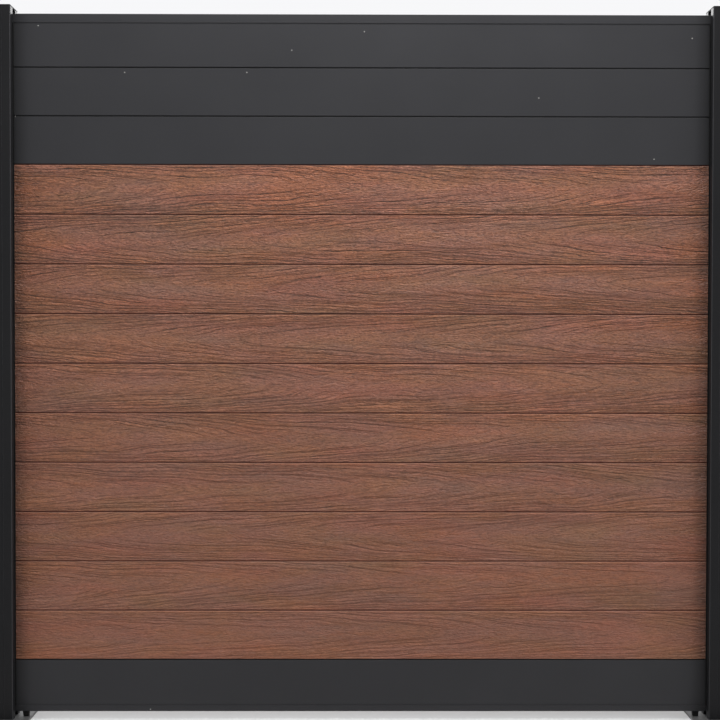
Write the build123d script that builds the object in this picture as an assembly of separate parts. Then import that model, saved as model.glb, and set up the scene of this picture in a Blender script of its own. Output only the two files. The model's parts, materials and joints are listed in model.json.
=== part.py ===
from build123d import *
import os

# Horizontal slat fence panel: tongue-and-groove slats stacked between two slotted posts on base plates
# Millimetres, +X along the panel, the front faces -Y, +Z up, origin on the ground under the middle

# Panel
clear_width = 1780.0  # between the inner faces of the posts
lower_metal_slats = 1
composite_boards = 10
upper_metal_slats = 3

# Slats and boards
slat_thickness = 20.0
metal_pitch = 123.5  # height that each metal slat adds to the stack
board_pitch = 127.0  # height that each composite board adds to the stack
slat_end_gap = 6.0  # room for a slat to lengthen at each end
face_edge = 1.0  # rounding on a metal slat, bevel on a board

# Tongue and groove
joint_height = 3.0  # open shadow joint between two faces
joint_depth = 3.0  # from a face back to the land that carries the slat above
tongue_width = 8.0
tongue_height = 9.0
tongue_chamfer = 1.2
groove_side_gap = 0.4
groove_top_gap = 1.0

# Hollow sections of the slats
metal_wall = 1.6
metal_webs = 2
board_wall = 4.2
board_web = 5.0
board_chambers = 5
board_chamber_cut = 2.0  # across the corners of a chamber

# Rails
rail_wall = 1.5
rail_fit = 0.2  # between a rail's lip and the slat's face
rail_edge_radius = 0.8
bottom_rail_floor = 11.5  # height of the seat above the rail's underside
bottom_rail_lip = 4.5
top_rail_height = 22.0

# Posts
post_side = 70.0
post_rise = 14.0  # post above the top rail
post_wall = 2.0
post_corner_radius = 3.0
slot_depth = 20.0
slot_clearance = 0.3  # between a rail and the slot's wall
slot_edge_radius = 0.8
chamber_cut = 2.0  # across the corners of the core and the corner chambers

# Filler strips in the slots that hold no slats
filler_wall = 1.8
filler_gap = 0.5  # joint line on each side
filler_recess = 0.6
filler_edge_radius = 0.6

# Seals on both faces of the slats
seal_fit = 0.1
seal_end_gap = 1.0  # the seal stops this far short of a slat's end
seal_bead = 2.4  # bead outside the slot
seal_cover = 1.6  # bead over the slot's edge

# Post caps
cap_thickness = 4.0
cap_chamfer = 1.0
cap_plug_depth = 15.0
cap_plug_wall = 2.0
cap_plug_fit = 0.2

# Base plates
plate_side = 150.0
plate_thickness = 6.0
plate_corner_radius = 8.0
anchor_edge_distance = 15.0
anchor_hole_radius = 6.0

# Spigots welded to the plates, which stand in the posts' cores
spigot_height = 120.0
spigot_wall = 3.0
spigot_fit = 0.2

# Screws through the floor of the outer slots into the spigots
screw_height = 50.0  # above the plate
screw_radius = 3.0
screw_length = 10.0
screw_fit = 0.1  # in the spigot
screw_hole_gap = 0.5  # in the post
screw_head_radius = 5.0
screw_head_height = 3.2
socket_radius = 2.3  # to the corners of the hexagon
socket_depth = 1.8

# Feet that carry the bottom rail
foot_height = 15.0
foot_width = 16.0
foot_depth = 13.0
foot_draft = 5.0  # degrees
foot_edge_distance = 14.0

# Sizes that follow from the ones above
rail_width = slat_thickness + 2 * (rail_fit + rail_wall)
slot_width = rail_width + 2 * slot_clearance
post_centre = (clear_width + post_side) / 2
groove_depth = tongue_height + groove_top_gap
slat_insert = slot_depth - slat_end_gap
slat_length = clear_width + 2 * slat_insert
step_width = slat_thickness - 2 * joint_depth
core_side = post_side - 2 * (slot_depth + post_wall)
slot_floor = post_side / 2 - slot_depth

# Rows of the panel from the ground up
pitches = {"metal_slat": metal_pitch, "composite_board": board_pitch}
rows = ["metal_slat"] * lower_metal_slats
rows += ["composite_board"] * composite_boards
rows += ["metal_slat"] * upper_metal_slats

# Heights above the ground
rail_underside = plate_thickness + foot_height
stack_bottom = rail_underside + bottom_rail_floor
stack_top = stack_bottom + sum(pitches[row] for row in rows)
rail_top = stack_top + tongue_height + rail_wall
post_top = rail_top + post_rise
post_length = post_top - plate_thickness

# Each post by its side name and its direction along X
sides = {"left": -1, "right": 1}
same_place = 0.01  # corners this near to a place are at it


# Face between a half outline and its mirror image
def half_profile_face(points):
    half_line = Polyline(*points)
    return make_face(half_line + mirror(half_line, Plane.YZ))


# Corners of a section at a place and at its mirror image
def corners_at(section, x, y):
    places = [Vector(x, y), Vector(-x, y)]

    def is_there(vertex):
        return min((Vector(vertex) - place).length for place in places) < same_place

    return section.vertices().filter_by(is_there)


# Rectangle with its corners cut off
def cut_rectangle(width, height, cut):
    return chamfer(Rectangle(width, height).vertices(), cut)


def extrude_along_panel(section, length):
    return extrude(Plane.YZ * section, amount=length / 2, both=True)


# Outline of a slat: groove below, open joint and tongue above
def slat_outline(pitch, ease_edges):
    half_slat = slat_thickness / 2
    half_groove = tongue_width / 2 + groove_side_gap
    shoulder = pitch - joint_height
    tip = pitch + tongue_height
    outline = half_profile_face(
        [
            (0, groove_depth),
            (half_groove, groove_depth),
            (half_groove, 0),
            (half_slat, 0),
            (half_slat, shoulder),
            (step_width / 2, shoulder),
            (step_width / 2, pitch),
            (tongue_width / 2, pitch),
            (tongue_width / 2, tip),
            (0, tip),
        ]
    )
    outline = ease_edges(corners_at(outline, half_slat, 0), face_edge)
    outline = ease_edges(corners_at(outline, half_slat, shoulder), face_edge)
    return chamfer(corners_at(outline, tongue_width / 2, tip), tongue_chamfer)


# Thin-walled extrusion: one wall all round, tied by level webs
def metal_slat():
    outline = slat_outline(metal_pitch, fillet)
    hollow = offset(outline, amount=-metal_wall, kind=Kind.INTERSECTION)
    web_room = metal_pitch - joint_height - groove_depth
    for index in range(1, metal_webs + 1):
        height = groove_depth + web_room * index / (metal_webs + 1)
        hollow -= Pos(0, height) * Rectangle(slat_thickness, metal_wall)
    return extrude_along_panel(outline - hollow, slat_length)


# Thick-walled co-extruded board with a row of chambers
def composite_board():
    section = slat_outline(board_pitch, chamfer)
    lowest = groove_depth + board_wall
    highest = board_pitch - joint_height - board_wall
    chamber_step = (highest - lowest + board_web) / board_chambers
    chamber_height = chamber_step - board_web
    chamber = cut_rectangle(slat_thickness - 2 * board_wall, chamber_height, board_chamber_cut)
    for index in range(board_chambers):
        section -= Pos(0, lowest + chamber_height / 2 + index * chamber_step) * chamber
    return extrude_along_panel(section, slat_length)


# Box section whose lips hold the lowest slat
def bottom_rail():
    half_rail = rail_width / 2
    lip_top = bottom_rail_floor + bottom_rail_lip
    outline = half_profile_face(
        [
            (0, 0),
            (half_rail, 0),
            (half_rail, lip_top),
            (half_rail - rail_wall, lip_top),
            (half_rail - rail_wall, bottom_rail_floor),
            (0, bottom_rail_floor),
        ]
    )
    outline = fillet(corners_at(outline, half_rail, 0), rail_edge_radius)
    chamber = Rectangle(rail_width - 2 * rail_wall, bottom_rail_floor - 2 * rail_wall)
    section = outline - Pos(0, bottom_rail_floor / 2) * chamber
    return Pos(0, 0, rail_underside) * extrude_along_panel(section, slat_length)


# Inverted U that sits on the top tongue
def top_rail():
    half_rail = rail_width / 2
    section = half_profile_face(
        [
            (0, 0),
            (half_rail, 0),
            (half_rail, -top_rail_height),
            (half_rail - rail_wall, -top_rail_height),
            (half_rail - rail_wall, -rail_wall),
            (0, -rail_wall),
        ]
    )
    section = fillet(corners_at(section, half_rail, 0), rail_edge_radius)
    return Pos(0, 0, rail_top) * extrude_along_panel(section, slat_length)


# Round bar out from a post's axis, at the height of the fixing screw
def screw_bar(radius, start, end):
    bar = extrude(Plane.YZ.offset(start) * Circle(radius), amount=end - start)
    return Pos(0, 0, plate_thickness + screw_height) * bar


# Square post with a slot in each side, a hollow core and hollow corners
def post():
    half_post = post_side / 2
    section = RectangleRounded(post_side, post_side, post_corner_radius)
    slot = Pos(half_post - slot_depth / 2, 0) * Rectangle(slot_depth, slot_width)
    corner_side = (post_side - slot_width) / 2 - 2 * post_wall
    corner_centre = half_post - post_wall - corner_side / 2
    corner_chamber = Pos(corner_centre, corner_centre) * cut_rectangle(corner_side, corner_side, chamber_cut)
    for quarter in range(4):
        turn = Rot(0, 0, 90 * quarter)
        section -= turn * slot
        section -= turn * corner_chamber
    section -= cut_rectangle(core_side, core_side, chamber_cut)
    for x, y in ((slot_width / 2, half_post), (half_post, slot_width / 2)):
        section = fillet(corners_at(section, x, y), slot_edge_radius)
        section = fillet(corners_at(section, x, -y), slot_edge_radius)
    tube = Pos(0, 0, plate_thickness) * extrude(section, amount=post_length)
    return tube - screw_bar(screw_radius + screw_hole_gap, 0, half_post)


# Flat cap with a hollow plug in the post's core
def post_cap():
    plate = extrude(RectangleRounded(post_side, post_side, post_corner_radius), amount=cap_thickness)
    plate = chamfer(plate.faces().sort_by(Axis.Z)[-1].edges(), cap_chamfer)
    plug_side = core_side - 2 * cap_plug_fit
    hole_side = plug_side - 2 * cap_plug_wall
    plug = cut_rectangle(plug_side, plug_side, chamber_cut) - Rectangle(hole_side, hole_side)
    return Pos(0, 0, post_top) * (plate + extrude(plug, amount=-cap_plug_depth))


# Channel-shaped strip that stands on the slot's floor with its face just below the post's face
def filler():
    width = slot_width - 2 * filler_gap
    height = slot_depth - filler_recess
    channel = Pos(slot_floor + height / 2, 0) * Rectangle(height, width)
    hollow_height = height - filler_wall
    hollow = Pos(slot_floor + hollow_height / 2, 0) * Rectangle(hollow_height, width - 2 * filler_wall)
    section = channel - hollow
    outer_corners = section.vertices().group_by(Axis.X)[-1]
    section = fillet(outer_corners, filler_edge_radius)
    return Pos(0, 0, plate_thickness) * extrude(section, amount=post_length)


# Soft strip between a slat's face and the slot's wall, with a rounded bead outside the slot
def seal():
    inner = slat_thickness / 2 + seal_fit
    outer = slot_width / 2 - seal_fit
    bead_edge = slot_width / 2 + seal_cover
    mouth = clear_width / 2
    leg_length = slat_insert - seal_end_gap
    leg = Pos(mouth + leg_length / 2, -(inner + outer) / 2) * Rectangle(leg_length, outer - inner)
    bead_width = bead_edge - inner
    bead = Pos(mouth - seal_bead / 2, -(inner + bead_edge) / 2) * Rectangle(seal_bead, bead_width)
    far_corner = bead.vertices().sort_by(Axis.X)[:2].sort_by(Axis.Y)[:1]
    bead = fillet(far_corner, seal_bead / 2)
    bottom = stack_bottom + bottom_rail_lip
    top = rail_top - top_rail_height
    return Pos(0, 0, bottom) * extrude(bead + leg, amount=top - bottom)


# Plate with anchor holes at its corners
def base_plate():
    section = RectangleRounded(plate_side, plate_side, plate_corner_radius)
    hole_spacing = plate_side - 2 * anchor_edge_distance
    for place in GridLocations(hole_spacing, hole_spacing, 2, 2):
        section -= place * Circle(anchor_hole_radius)
    return extrude(section, amount=plate_thickness)


# Square tube on the plate, inside the post's core
def spigot():
    side = core_side - 2 * spigot_fit
    hole_side = side - 2 * spigot_wall
    section = cut_rectangle(side, side, chamber_cut) - Rectangle(hole_side, hole_side)
    tube = Pos(0, 0, plate_thickness) * extrude(section, amount=spigot_height)
    return tube - screw_bar(screw_radius + screw_fit, 0, side)


# Socket screw that ties the post to its spigot
def fixing_screw():
    head_top = slot_floor + screw_head_height
    screw = screw_bar(screw_head_radius, slot_floor, head_top)
    screw += screw_bar(screw_radius, slot_floor - screw_length, slot_floor)
    socket = extrude(Plane.YZ.offset(head_top) * RegularPolygon(socket_radius, 6), amount=-socket_depth)
    return screw - Pos(0, 0, plate_thickness + screw_height) * socket


# Side of the foot, widest at the top
def foot_outline(width):
    return Rot(0, 0, 180) * Trapezoid(width, foot_height, 90 - foot_draft)


# Tapered block between a base plate and the bottom rail
def rail_foot():
    wide_side = extrude(Plane.XZ * foot_outline(foot_width), amount=foot_depth, both=True)
    narrow_side = extrude(Plane.YZ * foot_outline(foot_depth), amount=foot_width, both=True)
    return Pos(0, 0, rail_underside - foot_height / 2) * (wide_side & narrow_side)


# Slats from the ground up, each on the one below
def stack_slats(nodes):
    solids = {"metal_slat": metal_slat(), "composite_board": composite_board()}
    counts = dict.fromkeys(solids, 0)
    level = stack_bottom
    for row in rows:
        counts[row] += 1
        nodes[f"{row}_{counts[row]:02d}"] = Pos(0, 0, level) * solids[row]
        level += pitches[row]


# One post with its cap, plate, spigot, screw, fillers, seals and rail foot
def stand_post(nodes, side, direction):
    place = Pos(direction * post_centre, 0)
    outer_angle = 0 if direction > 0 else 180
    outward = place * Rot(0, 0, outer_angle)
    nodes[f"post_{side}"] = outward * post()
    nodes[f"post_cap_{side}"] = place * post_cap()
    nodes[f"base_plate_{side}"] = place * base_plate()
    nodes[f"spigot_{side}"] = outward * spigot()
    nodes[f"fixing_screw_{side}"] = outward * fixing_screw()
    filler_turns = {"front": -90, "back": 90, "outer": outer_angle}
    for face, angle in filler_turns.items():
        nodes[f"filler_{face}_{side}"] = place * Rot(0, 0, angle) * filler()
    front_seal = seal() if direction > 0 else mirror(seal(), Plane.YZ)
    nodes[f"seal_front_{side}"] = front_seal
    nodes[f"seal_back_{side}"] = mirror(front_seal, Plane.XZ)
    foot_reach = post_centre - plate_side / 2 + foot_edge_distance
    nodes[f"rail_foot_{side}"] = Pos(direction * foot_reach, 0) * rail_foot()


nodes = {"bottom_rail": bottom_rail(), "top_rail": top_rail()}
stack_slats(nodes)
for side, direction in sides.items():
    stand_post(nodes, side, direction)

os.makedirs("parts", exist_ok=True)
for name, solid in nodes.items():
    export_step(solid, f"parts/{name}.step")
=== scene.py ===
import json
import math
import random
import bmesh
import bpy
from mathutils import Euler, Matrix, Vector


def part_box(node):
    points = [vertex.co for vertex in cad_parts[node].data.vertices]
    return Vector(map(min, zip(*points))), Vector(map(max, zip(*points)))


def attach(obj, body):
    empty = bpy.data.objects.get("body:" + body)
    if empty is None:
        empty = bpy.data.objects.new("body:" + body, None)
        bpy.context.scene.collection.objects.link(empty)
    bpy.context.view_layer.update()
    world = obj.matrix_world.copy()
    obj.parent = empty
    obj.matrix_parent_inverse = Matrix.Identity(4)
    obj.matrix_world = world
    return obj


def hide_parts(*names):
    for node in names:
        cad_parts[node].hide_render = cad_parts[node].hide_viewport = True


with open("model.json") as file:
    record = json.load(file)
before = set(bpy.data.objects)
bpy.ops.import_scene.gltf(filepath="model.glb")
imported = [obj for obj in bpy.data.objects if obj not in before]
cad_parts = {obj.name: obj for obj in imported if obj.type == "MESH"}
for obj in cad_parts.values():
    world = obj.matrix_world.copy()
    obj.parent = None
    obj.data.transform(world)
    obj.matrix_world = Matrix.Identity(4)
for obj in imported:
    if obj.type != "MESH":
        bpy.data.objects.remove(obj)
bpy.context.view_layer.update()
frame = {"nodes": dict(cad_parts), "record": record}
nodes = frame["nodes"]
scene = bpy.context.scene
scene.view_settings.view_transform = "Standard"
sameSpot = 1e-6  # m, closer than this is the same place
print("frame:", len(nodes), "solids")


# small helpers for node trees, the same for materials and Geometry Nodes
def addNode(tree, kind, settings=None, inputs=None):
    node = tree.nodes.new(kind)
    for name, value in (settings or {}).items():
        setattr(node, name, value)
    for key, value in (inputs or {}).items():
        if isinstance(value, bpy.types.NodeSocket):
            tree.links.new(value, node.inputs[key])
        else:
            node.inputs[key].default_value = value
    return node


def calc(tree, operation, *values):
    node = addNode(tree, "ShaderNodeMath", {"operation": operation}, dict(enumerate(values)))
    return node.outputs[0]


def ramp(tree, value, low, high, toLow=0.0, toHigh=1.0):
    settings = {"interpolation_type": "SMOOTHSTEP"}
    node = addNode(tree, "ShaderNodeMapRange", settings, {0: value, 1: low, 2: high, 3: toLow, 4: toHigh})
    return node.outputs[0]


def split(tree, vector):
    return addNode(tree, "ShaderNodeSeparateXYZ", None, {0: vector}).outputs


def noise(tree, x, y, z, detail=2.0, roughness=0.5):
    place = addNode(tree, "ShaderNodeCombineXYZ", None, {0: x, 1: y, 2: z})
    inputs = {"Vector": place.outputs[0], "Scale": 1.0, "Detail": detail, "Roughness": roughness}
    return addNode(tree, "ShaderNodeTexNoise", None, inputs).outputs[0]


def swing(tree, value, reach):  # noise about zero, this far each way
    return calc(tree, "MULTIPLY", calc(tree, "SUBTRACT", value, 0.5), 2.0 * reach)


# wood grain: thin lines in long nested arches, closer near the board's edges, with short fibres between
grain = {
    "archOpening": 0.0009,  # m2, larger opens the arches
    "archesPerMetre": 5.5,  # tips along the board
    "archUneven": 1.6,  # lines that the tips crowd or part
    "archUnevenStep": 0.45,  # m
    "wanderStep": 0.90,  # m
    "wander": 0.026,  # m that the arches' middle rises and falls
    "bendLength": 0.20,  # m
    "bendHeight": 0.035,
    "bend": 0.009,
    "wiggleLength": 0.028,  # m
    "wiggleHeight": 0.009,
    "wiggle": 0.0017,
    "lineWidth": 0.0010,  # m, half of a dark line
    "grooveWidth": 0.0017,  # m, half of the groove that it lies in
    "lineCore": 0.2,  # share of the width at full strength
    "lineSlack": 22.0,  # lines per m where the arches are flat
    "fineLines": 1.57,  # fine lines for each main one
    "strokeLength": 0.085,  # m, main lines fade out and back along the board
    "strokeCut": (0.30, 0.54),  # noise from which a stroke starts, and is full
    "strokeShare": (0.2, 1.0),  # strength between strokes, and in one
    "dashLength": 0.051,  # m, the same for fine lines
    "dashCut": (0.34, 0.58),
    "dashShare": (0.1, 0.8),
    "quietWidth": (0.002, 0.026),  # m from the arches' middle, where lines are fainter
    "quietShare": 0.30,
    "fibreLength": 0.022,  # m
    "fibreHeight": 0.0036,
    "fibreTilt": 1.2,  # how closely the fibres follow the arches
    "fibreDetail": 3.0,
    "fibreRoughness": 0.65,
    "halfBlend": 0.02,  # m, fibres above and below the arches' middle differ
    "halfShift": 3.0,
    "speckLength": 0.0075,  # m
    "speckHeight": 0.0036,
    "seedSpread": 37.0,  # noise distance from one board's seed to the next
}
noiseShift = {  # keeps the noises of one board apart
    "wander": 3.1,
    "uneven": 8.7,
    "bend": 0.0,
    "wiggle": 5.0,
    "dash": 9.0,
    "speck": 19.0,
    "patch": 11.0,
    "band": 23.0,
    "tone": 31.0,
}


def stretched(tree, field, length, height, shift, detail=2.0):  # noise drawn out along the board
    x = calc(tree, "DIVIDE", field["along"], length)
    y = calc(tree, "DIVIDE", field["across"], height)
    return noise(tree, x, y, calc(tree, "ADD", field["key"], noiseShift[shift]), detail)


def archMiddle(tree, field):  # height above the arches' own middle line
    steps = calc(tree, "DIVIDE", field["along"], grain["wanderStep"])
    wander = noise(tree, steps, field["key"], noiseShift["wander"], 0.0)
    middle = calc(tree, "ADD", field["across"], swing(tree, wander, grain["wander"]))
    for name in ("bend", "wiggle"):
        wave = stretched(tree, field, grain[name + "Length"], grain[name + "Height"], name, 1.0)
        middle = calc(tree, "ADD", middle, swing(tree, wave, grain[name]))
    return middle


def archRing(tree, field, middle):  # whole midway between two lines
    ring = calc(tree, "DIVIDE", calc(tree, "MULTIPLY", middle, middle), grain["archOpening"])
    facing = calc(tree, "SIGN", calc(tree, "SINE", field["key"]))  # tips to the left or to the right
    tips = calc(tree, "MULTIPLY", field["along"], grain["archesPerMetre"])
    ring = calc(tree, "ADD", ring, calc(tree, "MULTIPLY", tips, facing))
    steps = calc(tree, "DIVIDE", field["along"], grain["archUnevenStep"])
    uneven = noise(tree, steps, field["key"], noiseShift["uneven"], 1.0)
    return calc(tree, "ADD", ring, swing(tree, uneven, grain["archUneven"]))


def addGrain(tree, place):
    parts = split(tree, place)
    key = calc(tree, "MULTIPLY", parts[2], grain["seedSpread"])
    field = {"along": parts[0], "across": parts[1], "key": key}
    middle = archMiddle(tree, field)
    ring = archRing(tree, field, middle)
    fromMiddle = calc(tree, "ABSOLUTE", middle)
    steep = calc(tree, "MULTIPLY", middle, 2.0 / grain["archOpening"])
    slope = calc(tree, "SQRT", calc(tree, "MULTIPLY_ADD", steep, steep, grain["lineSlack"] ** 2))

    def gapAt(often):  # m from the nearest line
        phase = calc(tree, "SUBTRACT", calc(tree, "FRACT", calc(tree, "MULTIPLY", ring, often)), 0.5)
        return calc(tree, "DIVIDE", calc(tree, "ABSOLUTE", phase), calc(tree, "MULTIPLY", slope, often))

    def lineAt(gap, width, strength):
        return calc(tree, "MULTIPLY", ramp(tree, gap, width, width * grain["lineCore"]), strength)

    def linesAt(width):
        return calc(tree, "MAXIMUM", lineAt(mainGap, width, stroke), lineAt(fineGap, width, dash))

    quiet = ramp(tree, fromMiddle, *grain["quietWidth"], grain["quietShare"], 1.0)
    stroke = noise(tree, calc(tree, "DIVIDE", field["along"], grain["strokeLength"]), ring, key)
    stroke = calc(tree, "MULTIPLY", ramp(tree, stroke, *grain["strokeCut"], *grain["strokeShare"]), quiet)
    dash = noise(
        tree,
        calc(tree, "DIVIDE", field["along"], grain["dashLength"]),
        calc(tree, "MULTIPLY", ring, grain["fineLines"]),
        calc(tree, "ADD", key, noiseShift["dash"]),
    )
    dash = calc(tree, "MULTIPLY", ramp(tree, dash, *grain["dashCut"], *grain["dashShare"]), quiet)
    mainGap, fineGap = gapAt(1.0), gapAt(grain["fineLines"])
    blend = grain["halfBlend"]
    half = calc(tree, "ADD", key, ramp(tree, middle, -blend, blend, 0.0, grain["halfShift"]))
    row = calc(tree, "DIVIDE", fromMiddle, grain["fibreHeight"])
    row = calc(tree, "ADD", row, calc(tree, "MULTIPLY", ring, grain["fibreTilt"]))
    steps = calc(tree, "DIVIDE", field["along"], grain["fibreLength"])
    field["ring"] = ring
    field["line"] = linesAt(grain["lineWidth"])
    field["groove"] = linesAt(grain["grooveWidth"])
    field["fibre"] = noise(tree, steps, row, half, grain["fibreDetail"], grain["fibreRoughness"])
    field["speck"] = stretched(tree, field, grain["speckLength"], grain["speckHeight"], "speck", 1.0)
    return field


# helpers for materials
def makeMaterial(name):
    material = bpy.data.materials.new(name)
    material.use_nodes = True
    tree = material.node_tree
    tree.nodes.clear()
    shader = addNode(tree, "ShaderNodeBsdfPrincipled")
    addNode(tree, "ShaderNodeOutputMaterial", None, {"Surface": shader.outputs[0]})
    return material, tree, shader


def mixColour(tree, share, first, second, blend="MIX"):
    settings = {"data_type": "RGBA", "blend_type": blend}
    node = addNode(tree, "ShaderNodeMix", settings, {0: share, 6: first, 7: second})
    return node.outputs[2]


def opaque(colour):
    return (*colour, 1.0)


def shadeColour(tree, colour, shade):
    grey = addNode(tree, "ShaderNodeCombineXYZ", None, {0: shade, 1: shade, 2: shade}).outputs[0]
    return mixColour(tree, 1.0, colour, grey, "MULTIPLY")


def objectSpot(tree):
    return addNode(tree, "ShaderNodeTexCoord").outputs["Object"]


def faceDirection(tree):
    return split(tree, addNode(tree, "ShaderNodeNewGeometry").outputs["Normal"])


# painted shade on the boards and slats beside the posts, which stand in front of them
endShade = {
    "reach": 0.042,  # m from the post
    "shade": 0.55,  # colour left at the post by the painted shade
}
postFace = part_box("post_right")[0].x


def shadeEnds(tree, x, shade):
    start = postFace - endShade["reach"]
    # painted shade, darker toward the post
    postShade = ramp(tree, calc(tree, "ABSOLUTE", x), start, postFace, 1.0, endShade["shade"])
    return calc(tree, "MULTIPLY", shade, postShade)


# material of the boards
woodLook = {
    "greyBrown": (0.214, 0.0910, 0.0505),
    "midBrown": (0.228, 0.0870, 0.0460),
    "redBrown": (0.244, 0.0835, 0.0420),
    "greyToMid": (0.30, 0.50),  # noise over which one brown turns into the next
    "midToRed": (0.50, 0.70),
    "coolTint": (0.99, 0.99, 1.11),
    "warmTint": (1.01, 1.00, 0.88),
    "coolToWarm": (0.35, 0.65),
    "patchLength": 0.36,  # m, size of the brown patches
    "patchHeight": 0.060,
    "toneLength": 0.216,  # m, size of the cool and warm patches
    "bandShade": 0.20,  # broad bands along the arches
    "bandsPerMetre": 3.0,
    "bandsPerLine": 0.8,
    "lineShade": 0.26,  # colour left in a dark line
    "fibreShade": 0.60,
    "speckShade": 0.46,
    # the grain's contrast rising with height is partly painted relief shading from light above
    "crispFoot": 0.47,  # strength of the fine grain at the ground
    "crispRise": 0.64,  # and its rise per m, so that low boards are fainter
    "crispEven": 0.84,  # strength at which the wood keeps its colour
    "topLightPale": 0.38,  # painted light: paler higher up, where the grain is crisper
    "edgeFrom": (0.012, 0.058),  # m from the middle, paler toward both edges
    "edgePale": (0.97, 1.12),
    "rimFrom": (0.0500, 0.0530),  # m above the middle, where the upper rim gets a painted highlight
    "rimHighlight": 1.25,
    # painted highlight on upward-facing bevels, as light from above gives
    "bevelSheen": (0.42, 0.245, 0.175),
    "sheenShare": 0.5,
    "sheenFrom": (0.30, 0.70),  # how far up a face looks: on the bevels, not in the joints
    "sheenTo": (0.95, 0.80),
    "recessShadeBrown": (0.085, 0.010, 0.002),  # painted shade in the joint, where the embossing stops
    "recessEdge": (0.0074, 0.0088),  # m from the middle of the board's thickness
    "roughness": 0.42,
    "grooveRoughness": 0.2,  # added in the grooves
    "gloss": 0.42,
    "fineBump": 0.0070,  # m
    "speckBump": 0.6,  # of the fine bump
}


def woodColour(tree, field):
    patch = stretched(tree, field, woodLook["patchLength"], woodLook["patchHeight"], "patch")
    tone = stretched(tree, field, woodLook["toneLength"], woodLook["patchHeight"], "tone")
    share = ramp(tree, patch, *woodLook["greyToMid"])
    colour = mixColour(tree, share, opaque(woodLook["greyBrown"]), opaque(woodLook["midBrown"]))
    colour = mixColour(tree, ramp(tree, patch, *woodLook["midToRed"]), colour, opaque(woodLook["redBrown"]))
    share = ramp(tree, tone, *woodLook["coolToWarm"])
    tint = mixColour(tree, share, opaque(woodLook["coolTint"]), opaque(woodLook["warmTint"]))
    return mixColour(tree, 1.0, colour, tint, "MULTIPLY")


def woodShade(tree, field, crisp):
    band = noise(
        tree,
        calc(tree, "MULTIPLY", field["along"], woodLook["bandsPerMetre"]),
        calc(tree, "MULTIPLY", field["ring"], woodLook["bandsPerLine"]),
        calc(tree, "ADD", field["key"], noiseShift["band"]),
    )
    fine = swing(tree, field["fibre"], woodLook["fibreShade"])
    fine = calc(tree, "ADD", fine, swing(tree, field["speck"], woodLook["speckShade"]))
    shade = calc(tree, "ADD", 1.0, swing(tree, band, woodLook["bandShade"]))
    shade = calc(tree, "ADD", shade, calc(tree, "MULTIPLY", fine, crisp))
    dark = calc(tree, "MULTIPLY", field["line"], 1.0 - woodLook["lineShade"])
    dark = calc(tree, "MULTIPLY", dark, crisp)
    shade = calc(tree, "MULTIPLY", shade, calc(tree, "SUBTRACT", 1.0, dark))
    fromMiddle = calc(tree, "ABSOLUTE", field["across"])
    edge = ramp(tree, fromMiddle, *woodLook["edgeFrom"], *woodLook["edgePale"])
    shade = calc(tree, "MULTIPLY", shade, edge)
    # painted highlight along each board's upper rim, as light from above gives
    upperRimHighlight = ramp(tree, field["across"], *woodLook["rimFrom"], 1.0, woodLook["rimHighlight"])
    shade = shadeEnds(tree, field["along"], calc(tree, "MULTIPLY", shade, upperRimHighlight))
    # evens out the darker lines of crisp grain and paints the upper boards lighter, as light from above would
    evenShade = 1.0 - woodLook["topLightPale"] * woodLook["crispEven"]
    paintedTopLight = calc(tree, "MULTIPLY_ADD", crisp, woodLook["topLightPale"], evenShade)
    return calc(tree, "MULTIPLY", shade, paintedTopLight)


def makeWood():
    material, tree, shader = makeMaterial("embossedWood")
    place = addNode(tree, "ShaderNodeAttribute", {"attribute_name": "grainPlace"}).outputs["Vector"]
    field = addGrain(tree, place)
    spots = split(tree, objectSpot(tree))
    # crisp rises with height: a deeper bump, plus painted relief shading and light high up
    crisp = calc(tree, "MULTIPLY_ADD", spots[2], woodLook["crispRise"], woodLook["crispFoot"])
    colour = shadeColour(tree, woodColour(tree, field), woodShade(tree, field, crisp))
    # painted highlight on the bevels that face up
    upward = faceDirection(tree)[2]
    bevelSheen = ramp(tree, upward, *woodLook["sheenFrom"], 0.0, woodLook["sheenShare"])
    bevelSheen = calc(tree, "MULTIPLY", bevelSheen, ramp(tree, upward, *woodLook["sheenTo"]))
    colour = mixColour(tree, bevelSheen, colour, opaque(woodLook["bevelSheen"]))
    # painted shade on faces set back in the joints
    onFace = ramp(tree, calc(tree, "ABSOLUTE", spots[1]), *woodLook["recessEdge"])
    colour = mixColour(tree, onFace, opaque(woodLook["recessShadeBrown"]), colour)
    tree.links.new(colour, shader.inputs["Base Color"])
    rough = calc(tree, "MULTIPLY_ADD", field["groove"], woodLook["grooveRoughness"], woodLook["roughness"])
    tree.links.new(rough, shader.inputs["Roughness"])
    shader.inputs["Specular IOR Level"].default_value = woodLook["gloss"]
    height = calc(tree, "MULTIPLY_ADD", field["speck"], woodLook["speckBump"], field["fibre"])
    bumpDepth = calc(tree, "MULTIPLY", crisp, woodLook["fineBump"])
    bump = addNode(tree, "ShaderNodeBump", None, {"Strength": 1.0, "Distance": bumpDepth, "Height": height})
    tree.links.new(bump.outputs[0], shader.inputs["Normal"])
    return material


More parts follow.
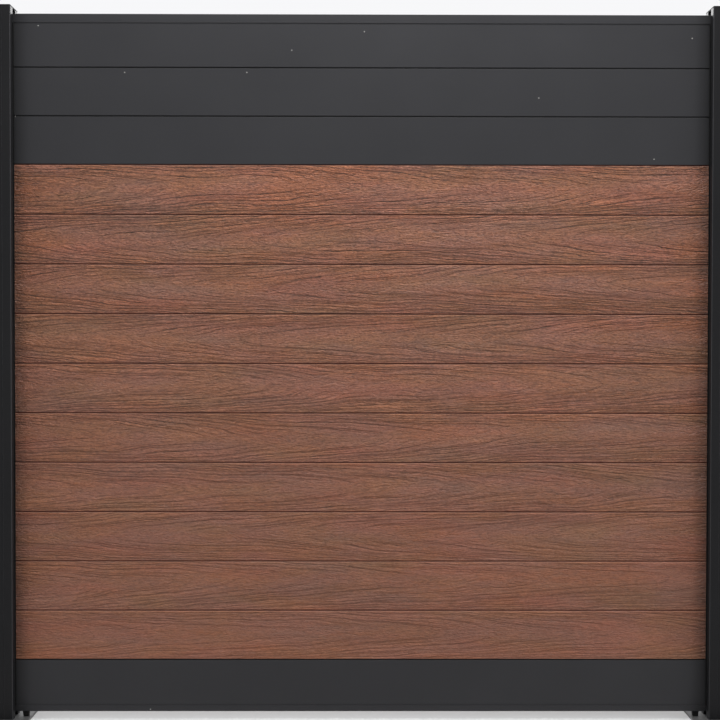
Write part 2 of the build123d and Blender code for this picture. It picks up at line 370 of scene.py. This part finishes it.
# coated metal, plastic and rubber: peel is the depth of the fine texture and size its grain, both in m
finishes = {
    "slat_coating": {
        "colour": (0.0256, 0.0256, 0.0280), "mottle": 0.10, "rough": 0.46, "gloss": 0.18,
        "peel": 0.00003, "size": 0.0016,
    },
    "post_coating": {
        "colour": (0.0090, 0.0090, 0.0098), "mottle": 0.10, "rough": 0.44, "gloss": 0.12,
        "peel": 0.00003, "size": 0.0016,
    },
    "plate_coating": {
        "colour": (0.105, 0.105, 0.105), "mottle": 0.22, "rough": 0.50, "gloss": 0.30,
        "peel": 0.00005, "size": 0.0030,
    },
    "cap_plastic": {
        "colour": (0.012, 0.012, 0.013), "mottle": 0.08, "rough": 0.62, "gloss": 0.04,
        "peel": 0.00004, "size": 0.0010,
    },
    "seal_rubber": {
        "colour": (0.004, 0.004, 0.004), "mottle": 0.20, "rough": 0.80, "gloss": 0.03,
        "peel": 0.00004, "size": 0.0014,
    },
    "foot_rubber": {
        "colour": (0.012, 0.012, 0.012), "mottle": 0.20, "rough": 0.70, "gloss": 0.10,
        "peel": 0.00005, "size": 0.0014,
    },
    "screw_steel": {
        "colour": (0.42, 0.42, 0.41), "mottle": 0.12, "rough": 0.34, "gloss": 0.50,
        "peel": 0.00002, "size": 0.0008, "metal": 1.0,
    },
}
coat = {  # the same for every finish
    "cloudsPerMetre": 5.0,
    "cloudDetail": 4.0,
    "cloudRoughness": 0.6,
    "peelDetail": 2.0,
    "peelMottle": 0.6,  # of the finish's mottling
    "cornerTurn": (0.12, 0.40),  # how far an upright rounded edge has turned
    "cornerHighlight": 2.6,  # times paler there, a painted highlight on the rounded edge
    "roughSwing": 0.08,
}
slatShadeAndDust = {
    "jointEdge": (0.0076, 0.0096),  # m from the middle of the slat's thickness
    "jointShade": 0.05,  # painted shade: colour left in an open joint
    "crumbCells": 3.0,  # per m, one crumb of dust in each
    "crumbEdge": (0.0052, 0.0030),  # in cells
    "crumbColour": (0.45, 0.44, 0.42),
}


# painted shade in the open joints and beside the posts, then crumbs of dust
def shadeAndDustSlat(tree, spot, colour):
    spots = split(tree, spot)
    fromMiddle = calc(tree, "ABSOLUTE", spots[1])
    joint = ramp(tree, fromMiddle, *slatShadeAndDust["jointEdge"], slatShadeAndDust["jointShade"], 1.0)
    colour = shadeColour(tree, colour, shadeEnds(tree, spots[0], joint))
    flat = addNode(tree, "ShaderNodeCombineXYZ", None, {0: spots[0], 1: spots[2]}).outputs[0]
    inputs = {"Vector": flat, "Scale": slatShadeAndDust["crumbCells"]}
    cells = addNode(tree, "ShaderNodeTexVoronoi", {"voronoi_dimensions": "2D"}, inputs)
    crumb = ramp(tree, cells.outputs["Distance"], *slatShadeAndDust["crumbEdge"])
    return mixColour(tree, crumb, colour, opaque(slatShadeAndDust["crumbColour"]))


def makeFinish(name):
    look = finishes[name]
    material, tree, shader = makeMaterial(name)
    spot = objectSpot(tree)
    inputs = {
        "Vector": spot,
        "Scale": coat["cloudsPerMetre"],
        "Detail": coat["cloudDetail"],
        "Roughness": coat["cloudRoughness"],
    }
    cloud = addNode(tree, "ShaderNodeTexNoise", None, inputs).outputs[0]
    inputs = {"Vector": spot, "Scale": 1.0 / look["size"], "Detail": coat["peelDetail"]}
    peel = addNode(tree, "ShaderNodeTexNoise", None, inputs).outputs[0]
    shade = calc(tree, "ADD", 1.0, swing(tree, cloud, look["mottle"]))
    peelShade = calc(tree, "ADD", 1.0, swing(tree, peel, look["mottle"] * coat["peelMottle"]))
    shade = calc(tree, "MULTIPLY", shade, peelShade)
    # painted highlight on upright rounded edges
    facing = faceDirection(tree)
    corner = calc(tree, "ABSOLUTE", calc(tree, "MULTIPLY", facing[0], facing[1]))
    paintedEdgeHighlight = ramp(tree, corner, *coat["cornerTurn"], 1.0, coat["cornerHighlight"])
    colour = shadeColour(tree, opaque(look["colour"]), calc(tree, "MULTIPLY", shade, paintedEdgeHighlight))
    # slats get painted shade in the joints and by the posts, and dust crumbs
    if name == "slat_coating":
        colour = shadeAndDustSlat(tree, spot, colour)
    tree.links.new(colour, shader.inputs["Base Color"])
    rough = calc(tree, "ADD", look["rough"], swing(tree, cloud, coat["roughSwing"]))
    tree.links.new(rough, shader.inputs["Roughness"])
    shader.inputs["Metallic"].default_value = look.get("metal", 0.0)
    shader.inputs["Specular IOR Level"].default_value = look["gloss"]
    bump = addNode(tree, "ShaderNodeBump", None, {"Strength": 1.0, "Distance": look["peel"], "Height": peel})
    tree.links.new(bump.outputs[0], shader.inputs["Normal"])
    return material


wood = makeWood()
coats = {name: makeFinish(name) for name in finishes}
print("materials:", 1 + len(coats))

for part in frame["record"]["subparts"]:  # solids that show as they are
    if part["material_slot"] in coats:
        solid = nodes[part["node"]]
        solid.data.materials.clear()
        solid.data.materials.append(coats[part["material_slot"]])


# boards: the solid's own outline, swept along with enough rows for a real relief
board = {
    "columns": 200,
    "frontRow": 0.0008,  # m
    "backRow": 0.0016,
    "reliefDepth": 0.0010,  # m
    "edgeFade": 0.0035,  # m, the relief runs out before the bevels
    "faceSlack": 1e-5,  # m, a point this near to the face is on it
    "sharpAngle": 38,  # degrees
    "seed": 5,
    "frontSeeds": (1, 9),
    "backSeeds": (11, 19),
}


def outerOutline(solid):
    mesh = bmesh.new()
    mesh.from_mesh(solid.data)
    bmesh.ops.remove_doubles(mesh, verts=mesh.verts, dist=sameSpot)
    end = max(vert.co.x for vert in mesh.verts)
    nextTo = {}
    for edge in mesh.edges:
        onEnd = all(abs(vert.co.x - end) < sameSpot for vert in edge.verts)
        if onEnd and any(abs(face.normal.x) < 0.5 for face in edge.link_faces):  # beside a long face
            for vert in edge.verts:
                nextTo.setdefault(vert, []).append(edge.other_vert(vert))
    first = min(nextTo, key=lambda vert: (vert.co.y, vert.co.z))  # on the front face, so on the outer loop
    loop, before, here = [first], first, nextTo[first][0]
    while here is not first:
        loop.append(here)
        before, here = here, next(vert for vert in nextTo[here] if vert is not before)
    points = [(vert.co.y, vert.co.z) for vert in loop]
    mesh.free()
    return points


def addRows(points, faceY):
    rows = []
    for (y, z), (nextY, nextZ) in zip(points, points[1:] + points[:1]):
        onFace = abs(abs(y) - faceY) < sameSpot and abs(abs(nextY) - faceY) < sameSpot
        rowHeight = board["frontRow"] if y < 0 else board["backRow"]
        steps = max(1, round(abs(nextZ - z) / rowHeight)) if onFace else 1
        rows += [(y + (nextY - y) * step / steps, z + (nextZ - z) * step / steps) for step in range(steps)]
    return rows


def sweepBoard(name, solid, seeds):
    low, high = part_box(name)
    rows = addRows(outerOutline(solid), high.y)
    columns, count = board["columns"], len(rows)
    verts, places = [], []
    middle = (low.z + high.z) / 2
    for column in range(columns + 1):
        x = low.x + (high.x - low.x) * column / columns
        for y, z in rows:
            verts.append((x, y, z))
            places += (x, z - middle, seeds[0] if y < 0 else seeds[1])
    faces = []
    for column in range(columns):
        for row in range(count):
            here, beside = column * count + row, column * count + (row + 1) % count
            faces.append((here, beside, beside + count, here + count))
    faces.append(tuple(range(count)))
    faces.append(tuple(range(columns * count, (columns + 1) * count)))
    mesh = bpy.data.meshes.new(name + "Sweep")
    mesh.from_pydata(verts, [], faces)
    mesh.attributes.new("grainPlace", "FLOAT_VECTOR", "POINT").data.foreach_set("vector", places)
    shape = bmesh.new()
    shape.from_mesh(mesh)
    bmesh.ops.recalc_face_normals(shape, faces=shape.faces)
    shape.to_mesh(mesh)
    shape.free()
    return mesh


def makeReliefTree():
    tree = bpy.data.node_groups.new("boardRelief", "GeometryNodeTree")
    face = tree.interface
    sockets = {}
    face.new_socket("Geometry", in_out="INPUT", socket_type="NodeSocketGeometry")
    for name in ("Depth", "Face", "Bottom", "Top", "Fade"):
        sockets[name] = face.new_socket(name, in_out="INPUT", socket_type="NodeSocketFloat").identifier
    face.new_socket("Geometry", in_out="OUTPUT", socket_type="NodeSocketGeometry")
    source = addNode(tree, "NodeGroupInput").outputs
    settings = {"data_type": "FLOAT_VECTOR"}
    place = addNode(tree, "GeometryNodeInputNamedAttribute", settings, {"Name": "grainPlace"}).outputs[0]
    groove = addGrain(tree, place)["groove"]
    spots = split(tree, addNode(tree, "GeometryNodeInputPosition").outputs[0])
    aboveBottom = calc(tree, "SUBTRACT", spots[2], source["Bottom"])
    belowTop = calc(tree, "SUBTRACT", source["Top"], spots[2])
    fade = calc(tree, "DIVIDE", calc(tree, "MINIMUM", aboveBottom, belowTop), source["Fade"])
    fade = calc(tree, "MINIMUM", 1.0, calc(tree, "MAXIMUM", 0.0, fade))
    faceLimit = calc(tree, "SUBTRACT", source["Face"], board["faceSlack"])
    onFace = calc(tree, "GREATER_THAN", calc(tree, "ABSOLUTE", spots[1]), faceLimit)
    inward = calc(tree, "MULTIPLY", calc(tree, "SIGN", spots[1]), -1.0)
    push = calc(tree, "MULTIPLY", calc(tree, "MULTIPLY", groove, fade), source["Depth"])
    push = calc(tree, "MULTIPLY", calc(tree, "MULTIPLY", push, onFace), inward)
    offset = addNode(tree, "ShaderNodeCombineXYZ", None, {1: push}).outputs[0]
    moved = addNode(tree, "GeometryNodeSetPosition", None, {"Geometry": source["Geometry"], "Offset": offset})
    real = addNode(tree, "GeometryNodeRealizeInstances", None, {0: moved.outputs[0]})
    dressed = addNode(tree, "GeometryNodeSetMaterial", None, {"Geometry": real.outputs[0], "Material": wood})
    addNode(tree, "NodeGroupOutput", None, {0: dressed.outputs[0]})
    return tree, sockets


reliefTree, reliefSockets = makeReliefTree()
picker = random.Random(board["seed"])
boardNames = sorted(name for name in nodes if name.startswith("composite_board"))
for name in boardNames:
    low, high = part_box(name)
    seeds = (picker.uniform(*board["frontSeeds"]), picker.uniform(*board["backSeeds"]))
    raw = bpy.data.objects.new(name + "Raw", sweepBoard(name, nodes[name], seeds))
    scene.collection.objects.link(raw)
    faceRows = [vert.co.z for vert in raw.data.vertices if abs(vert.co.y - high.y) < sameSpot]
    modifier = raw.modifiers.new("relief", "NODES")
    modifier.node_group = reliefTree
    values = {
        "Depth": board["reliefDepth"],
        "Face": high.y,
        "Bottom": min(faceRows),
        "Top": max(faceRows),
        "Fade": board["edgeFade"],
    }
    for key, value in values.items():
        modifier[reliefSockets[key]] = value
    depsgraph = bpy.context.evaluated_depsgraph_get()
    mesh = bpy.data.meshes.new_from_object(
        raw.evaluated_get(depsgraph), preserve_all_data_layers=True, depsgraph=depsgraph
    )
    bpy.data.objects.remove(raw)
    mesh.shade_smooth()
    mesh.set_sharp_from_angle(angle=math.radians(board["sharpAngle"]))
    plank = bpy.data.objects.new(name.replace("composite_board", "grained_board"), mesh)
    scene.collection.objects.link(plank)
    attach(plank, "root")
    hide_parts(name)
print("boards:", len(boardNames))


# floor, background and lights
studio = {
    "floorColour": (0.90, 0.90, 0.90),
    "floorRough": 0.7,
    "floorClouds": 1.4,  # per m
    "floorCloudDetail": 3.0,
    "floorMottle": 0.015,
    "floorSize": 10.0,  # m
    "floorFade": (1.8, 4.5),  # m from the middle, where the floor runs out
    "background": (0.933, 0.935, 0.950),
    "ambient": 0.13,
    "lights": {  # place, aim, width and height in m, power in W
        "keyLight": ((0.2, -0.80, 3.0), (0.0, 0.0, 1.2), (2.0, 0.6), 50.0),
        "leftLight": ((-6.5, -2.2, 1.2), (0.0, 0.0, 0.9), (4.0, 2.4), 226.0),
        "rightLight": ((6.5, -2.2, 1.2), (0.0, 0.0, 0.9), (4.0, 2.4), 277.0),
        "frontLight": ((0.25, -2.8, 1.2), (0.05, 0.0, 0.9), (1.2, 1.2), 3.0),
        "backLight": ((-0.4, 3.2, 3.0), (0.0, 0.0, 1.0), (3.0, 1.6), 105.0),
    },
}


def makeFloor():
    material, tree, shader = makeMaterial("paleFloor")
    spot = objectSpot(tree)
    inputs = {"Vector": spot, "Scale": studio["floorClouds"], "Detail": studio["floorCloudDetail"]}
    cloud = addNode(tree, "ShaderNodeTexNoise", None, inputs).outputs[0]
    shade = calc(tree, "ADD", 1.0, swing(tree, cloud, studio["floorMottle"]))
    colour = shadeColour(tree, opaque(studio["floorColour"]), shade)
    tree.links.new(colour, shader.inputs["Base Color"])
    shader.inputs["Roughness"].default_value = studio["floorRough"]
    reach = addNode(tree, "ShaderNodeVectorMath", {"operation": "LENGTH"}, {0: spot}).outputs["Value"]
    clear = addNode(tree, "ShaderNodeBsdfTransparent").outputs[0]
    fade = ramp(tree, reach, *studio["floorFade"])
    both = addNode(tree, "ShaderNodeMixShader", None, {0: fade, 1: shader.outputs[0], 2: clear})
    tree.links.new(both.outputs[0], tree.nodes["Material Output"].inputs["Surface"])
    half = studio["floorSize"] / 2
    corners = [(-half, -half, 0), (half, -half, 0), (half, half, 0), (-half, half, 0)]
    mesh = bpy.data.meshes.new("floor")
    mesh.from_pydata(corners, [], [(0, 1, 2, 3)])
    mesh.materials.append(material)
    floor = bpy.data.objects.new("floor", mesh)
    scene.collection.objects.link(floor)


def makeWorld():
    world = bpy.data.worlds.new("studio")
    scene.world = world
    world.use_nodes = True
    tree = world.node_tree
    tree.nodes.clear()
    path = addNode(tree, "ShaderNodeLightPath").outputs
    seen = calc(tree, "MAXIMUM", path["Is Camera Ray"], path["Is Glossy Ray"])
    seen = calc(tree, "MAXIMUM", seen, path["Is Transmission Ray"])
    background, ambient = opaque(studio["background"]), opaque((studio["ambient"],) * 3)
    shown = addNode(tree, "ShaderNodeBackground", None, {"Color": background, "Strength": 1.0})
    soft = addNode(tree, "ShaderNodeBackground", None, {"Color": ambient, "Strength": 1.0})
    both = addNode(tree, "ShaderNodeMixShader", None, {0: seen, 1: soft.outputs[0], 2: shown.outputs[0]})
    addNode(tree, "ShaderNodeOutputWorld", None, {"Surface": both.outputs[0]})


def addLight(name, place, aim, size, power):
    data = bpy.data.lights.new(name, "AREA")
    data.shape = "RECTANGLE"
    data.size, data.size_y = size
    data.energy = power
    light = bpy.data.objects.new(name, data)
    light.location = place
    light.rotation_euler = (Vector(aim) - Vector(place)).to_track_quat("-Z", "Y").to_euler()
    light.visible_camera = False
    scene.collection.objects.link(light)


makeFloor()
makeWorld()
for name, values in studio["lights"].items():
    addLight(name, *values)
print("studio:", len(studio["lights"]), "lights")


# camera where the photographer stood, nearly square on
shot = {
    "place": (-0.0192, -3.1925, 0.9863),
    "sensor": 36.0,  # mm
    "lens": 62.08,  # mm
    "yaw": 0.266,  # degrees
    "pitch": -1.087,
    "roll": 0.081,
}
cameraData = bpy.data.cameras.new("camera")
cameraData.sensor_width = shot["sensor"]
cameraData.lens = shot["lens"]
camera = bpy.data.objects.new("camera", cameraData)
turn = Euler((math.radians(90 + shot["pitch"]), 0, math.radians(-shot["yaw"]))).to_matrix()
turn = turn @ Matrix.Rotation(math.radians(shot["roll"]), 3, "Z")
camera.matrix_world = Matrix.Translation(shot["place"]) @ turn.to_4x4()
scene.collection.objects.link(camera)
scene.camera = camera
print("camera set")
